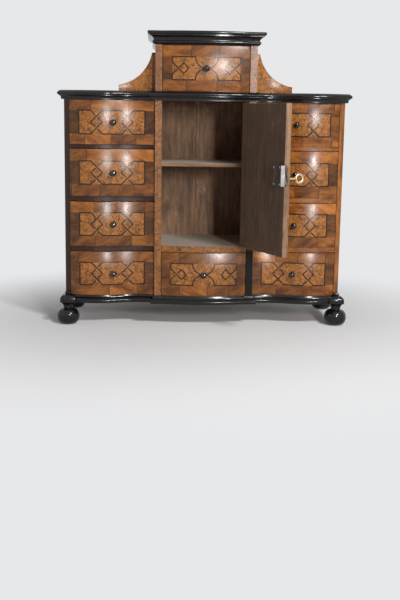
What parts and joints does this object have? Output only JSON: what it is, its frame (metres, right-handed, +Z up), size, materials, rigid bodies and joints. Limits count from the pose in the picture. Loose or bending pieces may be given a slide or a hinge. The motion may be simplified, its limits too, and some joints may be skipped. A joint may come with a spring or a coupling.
{
  "type": "table cabinet",
  "caption": "Serpentine-front walnut table cabinet with drawers, a bow-front cupboard door standing open, ebonised mouldings, ball feet and a raised centre section.",
  "frame": {"origin": "on the ground, under the middle of the whole, with the door standing open as it rests", "axes": "+X to the right as seen from the front, the front faces -Y, +Z up"},
  "size_m": [0.743, 0.4679, 0.7285],
  "materials": {
    "walnut_veneer": "glossy",
    "burl_veneer": "glossy",
    "plain_wood": "matte",
    "ebonised_wood": "glossy",
    "iron": "satin",
    "brass": "polished"
  },
  "bodies": {
    "cabinet": {"bottom_board": "plain_wood", "top_board": "walnut_veneer", "left_side": "walnut_veneer", "right_side": "walnut_veneer", "left_divider": "burl_veneer", "right_divider": "burl_veneer", "back_boards": "plain_wood", "left_dust_boards": "burl_veneer", "right_dust_boards": "burl_veneer", "cupboard_floor": "burl_veneer", "cupboard_shelf": "plain_wood", "base_moulding": "ebonised_wood", "corner_blocks": "ebonised_wood", "ball_feet": "ebonised_wood", "main_cornice": "ebonised_wood", "upper_sides": "burl_veneer", "upper_rail": "plain_wood", "upper_back": "plain_wood", "upper_top": "walnut_veneer", "upper_cornice": "ebonised_wood", "left_scroll": "burl_veneer", "right_scroll": "burl_veneer", "hinge_frame_leaves": "iron"},
    "drawer_left_1": {"drawer_left_1_front": "walnut_veneer", "drawer_left_1_box": "plain_wood", "drawer_left_1_knob": "ebonised_wood"},
    "drawer_left_2": {"drawer_left_2_front": "walnut_veneer", "drawer_left_2_box": "plain_wood", "drawer_left_2_knob": "ebonised_wood"},
    "drawer_left_3": {"drawer_left_3_front": "walnut_veneer", "drawer_left_3_box": "plain_wood", "drawer_left_3_knob": "ebonised_wood"},
    "drawer_left_4": {"drawer_left_4_front": "walnut_veneer", "drawer_left_4_box": "plain_wood", "drawer_left_4_knob": "ebonised_wood"},
    "drawer_right_1": {"drawer_right_1_front": "walnut_veneer", "drawer_right_1_box": "plain_wood", "drawer_right_1_knob": "ebonised_wood"},
    "drawer_right_2": {"drawer_right_2_front": "walnut_veneer", "drawer_right_2_box": "plain_wood", "drawer_right_2_knob": "ebonised_wood"},
    "drawer_right_3": {"drawer_right_3_front": "walnut_veneer", "drawer_right_3_box": "plain_wood", "drawer_right_3_knob": "ebonised_wood"},
    "drawer_right_4": {"drawer_right_4_front": "walnut_veneer", "drawer_right_4_box": "plain_wood", "drawer_right_4_knob": "ebonised_wood"},
    "drawer_bottom_centre": {"drawer_bottom_centre_front": "walnut_veneer", "drawer_bottom_centre_box": "plain_wood", "drawer_bottom_centre_knob": "ebonised_wood"},
    "drawer_top_centre": {"drawer_top_centre_front": "walnut_veneer", "drawer_top_centre_box": "plain_wood", "drawer_top_centre_knob": "ebonised_wood"},
    "door": {"door_panel": "walnut_veneer", "door_lock_case": "iron", "door_escutcheon": "brass", "hinge_door_leaves": "iron"},
    "key": {"door_key": "brass"},
    "bolt": {"door_lock_bolt": "iron"}
  },
  "joints": [
    {"name": "drawer_left_1_slide", "type": "slide", "parent": "cabinet", "child": "drawer_left_1", "axis": [0, -1, 0], "range_m": [-0.01, 0.14]},
    {"name": "drawer_left_2_slide", "type": "slide", "parent": "cabinet", "child": "drawer_left_2", "axis": [0, -1, 0], "range_m": [-0.01, 0.14]},
    {"name": "drawer_left_3_slide", "type": "slide", "parent": "cabinet", "child": "drawer_left_3", "axis": [0, -1, 0], "range_m": [-0.01, 0.14]},
    {"name": "drawer_left_4_slide", "type": "slide", "parent": "cabinet", "child": "drawer_left_4", "axis": [0, -1, 0], "range_m": [-0.01, 0.14]},
    {"name": "drawer_right_1_slide", "type": "slide", "parent": "cabinet", "child": "drawer_right_1", "axis": [0, -1, 0], "range_m": [0, 0.045]},
    {"name": "drawer_right_2_slide", "type": "slide", "parent": "cabinet", "child": "drawer_right_2", "axis": [0, -1, 0], "range_m": [0, 0.045]},
    {"name": "drawer_right_3_slide", "type": "slide", "parent": "cabinet", "child": "drawer_right_3", "axis": [0, -1, 0], "range_m": [0, 0.045]},
    {"name": "drawer_right_4_slide", "type": "slide", "parent": "cabinet", "child": "drawer_right_4", "axis": [0, -1, 0], "range_m": [0, 0.15]},
    {"name": "drawer_bottom_centre_slide", "type": "slide", "parent": "cabinet", "child": "drawer_bottom_centre", "axis": [0, -1, 0], "range_m": [0, 0.15]},
    {"name": "drawer_top_centre_slide", "type": "slide", "parent": "cabinet", "child": "drawer_top_centre", "axis": [0, -1, 0], "range_m": [0, 0.15]},
    {"name": "door_hinge", "type": "hinge", "parent": "cabinet", "child": "door", "pos_m": [0.107, -0.02624, 0.384], "axis": [0, 0, -1], "range_deg": [-35, 113]},
    {"name": "key_turn", "type": "hinge", "parent": "door", "child": "key", "pos_m": [0.18207, -0.20024, 0.387], "axis": [0.9205, 0.3907, 0], "range_deg": [0, 90]},
    {"name": "bolt_slide", "type": "slide", "parent": "door", "child": "bolt", "axis": [0.3907, -0.9205, 0], "range_m": [0, 0.008]}
  ],
  "couplings": [
    {"joint": "bolt_slide", "follows": "key_turn", "m_per_rad": 0.005093}
  ]
}
